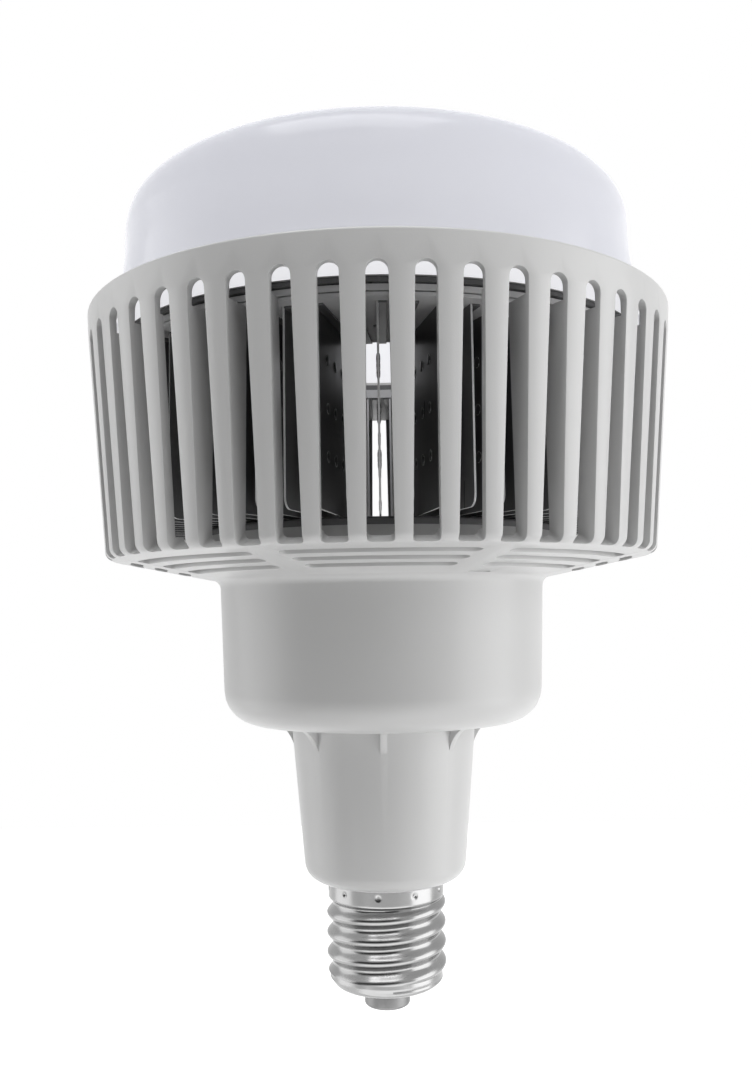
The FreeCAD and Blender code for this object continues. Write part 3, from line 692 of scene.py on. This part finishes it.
def bar_trim(depth):
    """Trims one bar from the inside to a web of even depth that follows the cage's taper."""
    half = math.radians(180.0 / SLOT_COUNT) * CAGE_SHOULDER_RADIUS
    low, high = floor_top_z(CAGE_END_RADIUS) + BAR_FOOT, seat_z + CLEAR
    taper = (CAGE_SHOULDER_RADIUS - CAGE_END_RADIUS) / (shoulder_z - floor_z(CAGE_END_RADIUS))
    inner = BAR_INNER_RADIUS - 2 * CLEAR
    low_reach, high_reach = [CAGE_SHOULDER_RADIUS - depth - taper * (shoulder_z - z) for z in (low, high)]
    outline = [(inner, low), (inner, high), (high_reach, high), (low_reach, low)]
    return prism("bar_trim", [(-half, -radius, z) for radius, z in outline], (2 * half, 0, 0))


def gusset():
    """Web under the neck with a hollow edge."""
    root = COLLAR_TOP_RADIUS
    low_z = collar_top_z - GUSSET_DROP
    low_radius = root - (root - COLLAR_END_RADIUS) * GUSSET_DROP / COLLAR_LENGTH - GUSSET_SINK
    start = Vector((root + GUSSET_REACH, collar_top_z))
    bend = Vector((root + GUSSET_REACH * GUSSET_BEND[0], collar_top_z - GUSSET_DROP * GUSSET_BEND[1]))
    end = Vector((low_radius, low_z))
    points = []
    for step in range(GUSSET_STEPS + 1):
        t = step / GUSSET_STEPS
        here = start * (1 - t) ** 2 + bend * 2 * t * (1 - t) + end * t ** 2
        points.append((here.x, here.y))
    points += [(low_radius - CLEAR, low_z), (root - CLEAR, collar_top_z + CLEAR),
               (root + GUSSET_REACH, collar_top_z + CLEAR)]
    half = GUSSET_THICKNESS / 2
    return prism("gusset", [(-half, -radius, z) for radius, z in points], (GUSSET_THICKNESS, 0, 0))


def make_housing():
    """Turned body with gussets, air slots, trimmed bars and the vents and latch slots of the floor."""
    body = turned("housing_moulding", housing_outline())
    carve(body, joined("gussets", ring_of(gusset(), GUSSET_COUNT)), "UNION")
    carve(body, joined("slots", ring_of(slot_tool(), SLOT_COUNT)))
    trims = []
    for depth, count, first in BAR_TRIMS:
        trims += ring_of(bar_trim(depth), count, first)
    carve(body, joined("trims", trims))
    vents = []
    for radius in VENT_RADII:
        half = 180.0 / VENT_SECTORS - math.degrees((VENT_SPOKE + VENT_WIDTH) / 2 / radius)
        vents += ring_of(vent_tool(radius, VENT_WIDTH, half), VENT_SECTORS)
    vents += ring_of(vent_tool(LATCH_RADIUS, LATCH_WIDTH, LATCH_HALF_ANGLE), LATCH_COUNT, LATCH_FIRST_ANGLE)
    carve(body, joined("vents", vents))
    soften(body, EDGE_ROUND, angle=32)
    place(body, "housing", "housing_plastic")


# ---- diffuser -------------------------------------------------------------------------
DIFFUSER_WALL = 2.0 * MM
DIFFUSER_CHAMFER = 0.3 * MM
CROWN_RADIUS = 85.38 * MM
CROWN_START = 19.48 * MM             # height over the rim
CROWN_EXPONENT = 4.4                 # 2 would be round, more is flatter on top
CROWN_STEPS = 40
DIFFUSER_STEPS = 144


def crown(radius, low, high):
    """Points of the flat-topped crown, from its shoulder to the axis."""
    points = []
    for step in range(CROWN_STEPS + 1):
        turn = math.pi / 2 * (1 - step / CROWN_STEPS)
        points.append((radius * math.sin(turn) ** (2 / CROWN_EXPONENT),
                       low + (high - low) * math.cos(turn) ** (2 / CROWN_EXPONENT)))
    return points


def make_diffuser():
    """Opal cover as a shell of even wall, its inner wall marked for the finish's stronger painted glow."""
    foot = diffuser_high[0]
    foot_inner = foot - DIFFUSER_WALL
    crown_z = rim_z + CROWN_START
    outer = crown(CROWN_RADIUS, crown_z, diffuser_high[2])
    inner = crown(CROWN_RADIUS - DIFFUSER_WALL, crown_z, diffuser_high[2] - DIFFUSER_WALL)[::-1]
    outline = [(foot, diffuser_low[2] + DIFFUSER_CHAMFER), (foot, rim_z)] + outer + inner
    outline += [(foot_inner, rim_z), (foot_inner, diffuser_low[2]), (foot - DIFFUSER_CHAMFER, diffuser_low[2])]
    dome = turned("diffuser_dome", outline, steps=DIFFUSER_STEPS)
    smooth(dome, angle=40)
    centre = Vector((0, 0, crown_z))
    # faces marked here get the stronger painted glow
    mark_faces(dome, "inner_wall", lambda face: face.normal.dot(face.center - centre) < 0)
    place(dome, "diffuser", "diffuser_plastic")


# ---- heat sink ------------------------------------------------------------------------
FIN_BANKS = 6
FINS_PER_BANK = 10
FIN_PITCH = 360.0 / (FIN_BANKS * FINS_PER_BANK)
FIRST_FIN_ANGLE = -24.0
FIN_INNER_RADIUS = 40.6 * MM
FIN_OUTER_RADIUS = 82.0 * MM
FIN_THICKNESS = 0.6 * MM
FIN_CORNER = 3.2 * MM
FIN_FOLD = 2.6 * MM
FIN_EDGE = 0.08 * MM
DIMPLE_RADIUS = 1.6 * MM
DIMPLE_RISE = 0.3 * MM
DIMPLE_RADII = (52.5 * MM, 60.8 * MM, 69.1 * MM)
DIMPLE_DROPS = (12.5 * MM, 26.0 * MM, 39.5 * MM)
COATED_HEAD = 1.5 * MM               # height at the folded head where the edges are coated too
EDGE_SHARE = 0.75                    # a face that looks less than this along the sheet's normal is an edge


def fin_sheet():
    """One stamped fin: round lower corners, folded head and nine pressed dimples."""
    inner, outer = FIN_INNER_RADIUS, FIN_OUTER_RADIUS
    low, high = fins_low[2], fins_high[2]
    fold_low = high - FIN_THICKNESS
    outline = rounded([(inner, high, 0), (inner, low, FIN_CORNER), (outer, low, FIN_CORNER), (outer, high, 0)],
                      fineness=18.0)
    sheet = prism("fin", [(-FIN_THICKNESS / 2, -radius, z) for radius, z in outline], (FIN_THICKNESS, 0, 0))
    fold = [(outer, high), (inner, high), (inner, fold_low), (outer, fold_low)]
    parts = [sheet, prism("fold", [(0, -radius, z) for radius, z in fold], (FIN_FOLD, 0, 0))]
    for radius in DIMPLE_RADII:
        for drop in DIMPLE_DROPS:
            parts += [dimple(radius, high - drop, side) for side in (-1, 1)]
    return joined("fin", parts)


def dimple(radius, z, side):
    """Rim and floor of a pressed pip, as they show on one side of a fin."""
    deselect()
    bpy.ops.mesh.primitive_uv_sphere_add(segments=14, ring_count=8, radius=DIMPLE_RADIUS,
                                         location=(side * FIN_THICKNESS / 2, -radius, z))
    pip = bpy.context.object
    edit()
    bpy.ops.transform.resize(value=(DIMPLE_RISE / DIMPLE_RADIUS, 1, 1))
    bpy.ops.mesh.bisect(plane_co=(side * FIN_THICKNESS / 4, 0, 0), plane_no=(side, 0, 0), clear_inner=True)
    done()
    pip.data.transform(Matrix.Translation(pip.location))
    pip.location = (0, 0, 0)
    return pip


def takes_bare_and_glint_grey(face):
    """Whether a face is a cut edge, where the coating is thin, or the rim of a pip, where a glint is painted.
    """
    sideways = Vector((-face.center.y, face.center.x, 0)).normalized()
    under_fold = face.center.z < fins_high[2] - COATED_HEAD
    return under_fold and abs(face.normal.dot(sideways)) < EDGE_SHARE


def make_fins():
    """Banks of fins as the source has them, from one stamped pattern."""
    pattern = fin_sheet()
    apply(pattern, "BEVEL", width=FIN_EDGE, segments=1, limit_method="ANGLE", angle_limit=math.radians(50))
    for bank in range(FIN_BANKS):
        first = FIRST_FIN_ANGLE + bank * FINS_PER_BANK * FIN_PITCH
        copies = [turned_copy(pattern, first + index * FIN_PITCH) for index in range(FINS_PER_BANK)]
        stack = joined("fin_bank_%d" % (bank + 1), copies)
        smooth(stack, angle=35)
        # marks the cut edges and pip rims that get the light grey and the painted glint
        mark_faces(stack, "bare_edge_and_painted_glint", takes_bare_and_glint_grey)
        place(stack, "cooling_fins_%d" % (bank + 1), "black_metal")
    bpy.data.objects.remove(pattern)


# ---- screw cap ------------------------------------------------------------------------
PITCH = 6.35 * MM
CREST_RADIUS = 19.65 * MM
ROOT_RADIUS = 17.75 * MM
CREST_ON_RIGHT = 20.4 * MM           # height of one crest on the right-hand side
THREAD_START = 0.6 * MM              # above the shell's end
THREAD_LOW_FADE = 3.0 * MM
THREAD_HIGH_FADE = 1.6 * MM
SKIRT_RADIUS = 19.2 * MM
SKIRT_STEP = 0.8 * MM
SHEET = 0.6 * MM
MOUTH_RADIUS = 12.0 * MM
SHELL_END_RADIUS = 18.3 * MM
SHELL_END_ROUND = 3.1 * MM
SHELL_END_STEPS = 8
SHELL_END_FACE = 0.9 * MM            # height of the end that the thread leaves alone
SHELL_ROWS = 84
SHELL_STEPS = 288
PUNCHES = 10
PUNCH_FIRST_ANGLE = -97.5            # from the right-hand side
PUNCH_DROP = 2.6 * MM
PUNCH_RADIUS = 0.95 * MM
PUNCH_DEPTH = 0.75 * MM
CONTACT_STEM = 2.6 * MM
CONTACT_FACE_ROUND = 1.0 * MM
CONTACT_BACK_ROUND = 0.4 * MM
CONTACT_STEPS = 64


def thread_radius(base, z, turn):
    """Wall radius of the rolled thread; turn is the angle from the right-hand side, in radians."""
    low_fade = min(1.0, max(0.0, (z - shell_low[2] - THREAD_START) / THREAD_LOW_FADE))
    high_fade = min(1.0, max(0.0, (collar_end_z - SKIRT_LENGTH - z) / THREAD_HIGH_FADE))
    fade = min(low_fade, high_fade)
    fade = fade * fade * (3 - 2 * fade)
    middle = (CREST_RADIUS + ROOT_RADIUS) / 2
    height = (CREST_RADIUS - ROOT_RADIUS) / 2
    wave = math.cos(2 * math.pi * ((z - CREST_ON_RIGHT) / PITCH - turn / (2 * math.pi)))
    return base * (1 - fade) + (middle + height * wave) * fade


def punch_depth(z, turn):
    """Depth of the staking dents round the skirt at a height and an angle in radians."""
    pitch = 2 * math.pi / PUNCHES
    first = math.radians(PUNCH_FIRST_ANGLE)
    across = ((turn - first + pitch / 2) % pitch - pitch / 2) * SKIRT_RADIUS
    up = z - (collar_end_z - PUNCH_DROP)
    return PUNCH_DEPTH * max(0.0, 1 - math.hypot(across, up) / PUNCH_RADIUS)


def shell_outline():
    """Section of the plain shell before its thread is rolled."""
    low, top = shell_low[2], collar_end_z
    round_end_z = low + SHELL_END_ROUND
    skirt_inner = SKIRT_RADIUS - SHEET
    body_inner = ROOT_RADIUS - SHEET * 0.5
    points = [(MOUTH_RADIUS, low + SHEET), (MOUTH_RADIUS, low)]
    for step in range(SHELL_END_STEPS + 1):
        turn = math.radians(90 * step / SHELL_END_STEPS)
        points.append((SHELL_END_RADIUS - SHELL_END_ROUND * (1 - math.sin(turn)),
                       low + SHELL_END_ROUND * (1 - math.cos(turn))))
    for row in range(1, SHELL_ROWS + 1):
        points.append((SHELL_END_RADIUS + (SKIRT_RADIUS - SHELL_END_RADIUS) * row / SHELL_ROWS,
                       round_end_z + (top - low - SHELL_END_ROUND) * row / SHELL_ROWS))
    return points + [(skirt_inner, top), (skirt_inner, top - SKIRT_LENGTH),
                     (body_inner, top - SKIRT_LENGTH - SKIRT_STEP), (body_inner, low + 2 * SHELL_END_ROUND),
                     (MOUTH_RADIUS + CLEAR, low + SHEET)]


def make_shell():
    """Rolled screw shell with its punch marks."""
    low = shell_low[2]
    inner_limit = ROOT_RADIUS + SHEET
    shell = turned("screw_shell", shell_outline(), steps=SHELL_STEPS)
    for vertex in shell.data.vertices:
        x, y, z = vertex.co
        radius = math.hypot(x, y)
        inside = radius < inner_limit and z > low + SHELL_END_ROUND
        if inside or z < low + SHELL_END_FACE:
            continue
        turn = math.atan2(y, x)
        wall = thread_radius(radius, z, turn) - punch_depth(z, turn)
        vertex.co.x *= wall / radius
        vertex.co.y *= wall / radius
    smooth(shell, angle=40)
    place(shell, "cap_shell", "nickel")


def make_contact():
    """Turned contact button with its stem."""
    radius, _, top = contact_high
    outline = rounded([(0, 0, 0), (radius, 0, CONTACT_FACE_ROUND), (radius, insulator_z, CONTACT_BACK_ROUND),
                       (CONTACT_STEM, insulator_z, 0), (CONTACT_STEM, top, 0), (0, top, 0)], fineness=12.0)
    button = turned("contact_button", outline, steps=CONTACT_STEPS, closed=False)
    smooth(button, angle=35)
    place(button, "centre_contact", "contact_metal")


make_housing()
make_diffuser()
make_fins()
make_shell()
make_contact()


# ---- floor, light and camera ----------------------------------------------------------
FLOOR_SIZE = 6
FLOOR_DROP = 550 * MM
FLOOR_PAINT = 0.80
FLOOR_GLOW = 0.93
CAMERA_DISTANCE = 346.46 * MM
CAMERA_BELOW_RIM = 97.83 * MM
CAMERA_RISE = 0.0769                 # the camera's three angles are in radians
CAMERA_HEADING = -0.0047
CAMERA_LEAN = -0.0142
LENS = 34.1613806                    # lens and sensor are in millimetres, as the camera takes them
SENSOR = 36


def white_floor():
    """White sweep under the lamp: white where it is seen, and darker only in the lamp's shadow."""
    deselect()
    bpy.ops.mesh.primitive_plane_add(size=FLOOR_SIZE, location=(0, 0, cad_low[2] - FLOOR_DROP))
    floor = bpy.context.object
    floor.name = "floor"
    board = new_board("floor_white")
    paint = board.add("ShaderNodeBsdfDiffuse", Color=grey(FLOOR_PAINT))
    glow = board.add("ShaderNodeEmission", Color=grey(1.0), Strength=seen_share(board) * FLOOR_GLOW)
    floor.data.materials.append(board.close(board.add("ShaderNodeAddShader", paint, glow)))


def studio_world(strength):
    """Even light for the object, plain white where it is seen."""
    world = bpy.data.worlds.new("studio")
    bpy.context.scene.world = world
    board = Board(world)
    even = board.add("ShaderNodeBackground", Color=grey(1.0), Strength=strength)
    plain = board.add("ShaderNodeBackground", Color=grey(1.0))
    board.close(board.add("ShaderNodeMixShader", seen_share(board), even, plain), "ShaderNodeOutputWorld")


def aimed(stand, aim):
    """Turn that points an object's back from its stand at a point."""
    return (Vector(aim) - Vector(stand)).to_track_quat("-Z", "Y").to_matrix().to_4x4()


def softbox(name, stand, aim, size, power):
    """Rectangular lamp aimed at a point."""
    light = bpy.data.lights.new(name, "AREA")
    light.shape = "RECTANGLE"
    light.size, light.size_y = size
    light.energy = power
    obj = bpy.data.objects.new(name, light)
    bpy.context.collection.objects.link(obj)
    obj.matrix_world = Matrix.Translation(stand) @ aimed(stand, aim)


def dark_card(name, stand, aim, size, mirrored):
    """Card that keeps light off the front, as a studio flag does; an unmirrored one doesn't show in gloss."""
    deselect()
    bpy.ops.mesh.primitive_plane_add(size=1, location=(0, 0, 0))
    card = bpy.context.object
    card.name = name
    card.data.transform(Matrix.Diagonal((*size, 1, 1)))
    card.data.transform(aimed(stand, aim))
    card.data.transform(Matrix.Translation(stand))
    card.data.materials.append(coated(name + "_cloth", (0.03, 0.03, 0.03), rough=0.8, variation=0.05))
    card.visible_camera = False
    card.visible_glossy = mirrored


def studio_camera():
    """Eye level with the floor of the cage, looking slightly up."""
    forward = Vector((math.sin(CAMERA_HEADING), math.cos(CAMERA_HEADING), 0))
    right = Vector((math.cos(CAMERA_HEADING), -math.sin(CAMERA_HEADING), 0))
    up = Vector((0, 0, 1))
    look = forward * math.cos(CAMERA_RISE) + up * math.sin(CAMERA_RISE)
    head = up * math.cos(CAMERA_RISE) - forward * math.sin(CAMERA_RISE)
    side = right * math.cos(CAMERA_LEAN) + head * math.sin(CAMERA_LEAN)
    top = head * math.cos(CAMERA_LEAN) - right * math.sin(CAMERA_LEAN)
    camera_data = bpy.data.cameras.new("camera")
    camera_data.sensor_width = SENSOR
    camera_data.sensor_fit = "AUTO"
    camera_data.lens = LENS
    camera_data.clip_start = 0.01
    camera = bpy.data.objects.new("camera", camera_data)
    bpy.context.collection.objects.link(camera)
    stand = Matrix.Translation((0, -CAMERA_DISTANCE, rim_z - CAMERA_BELOW_RIM))
    camera.matrix_world = stand @ Matrix((side, top, -look)).transposed().to_4x4()
    bpy.context.scene.camera = camera


white_floor()
studio_world(0.37)
# Lamps: stand, aim, size and watts. Cards: stand, aim and size.
softbox("right_box", (1.1, -0.26, 0.1), (0, 0, 0.14), (1.0, 1.3), 9.9)
softbox("left_box", (-1.1, 0.1, 0.1), (0, 0, 0.14), (0.9, 1.3), 4.8)
softbox("top_box", (-0.1, -0.4, 1.1), (0, 0, 0.2), (0.9, 0.6), 8.0)
softbox("under_box", (0.0, -0.3, -0.5), (0, 0, 0.14), (1.2, 0.8), 3.8)
dark_card("front_flag", (-0.1, -0.85, 0.33), (0, 0, 0.33), (1.0, 0.72), mirrored=True)
dark_card("front_flag_low", (-0.1, -0.85, -0.29), (0, 0, -0.29), (1.0, 0.52), mirrored=False)
dark_card("left_flag", (-0.74, -0.58, 0.33), (0, 0, 0.33), (0.5, 0.72), mirrored=True)
dark_card("left_flag_low", (-0.74, -0.58, -0.29), (0, 0, -0.29), (0.5, 0.52), mirrored=False)
studio_camera()
bpy.context.scene.view_settings.view_transform = "Standard"
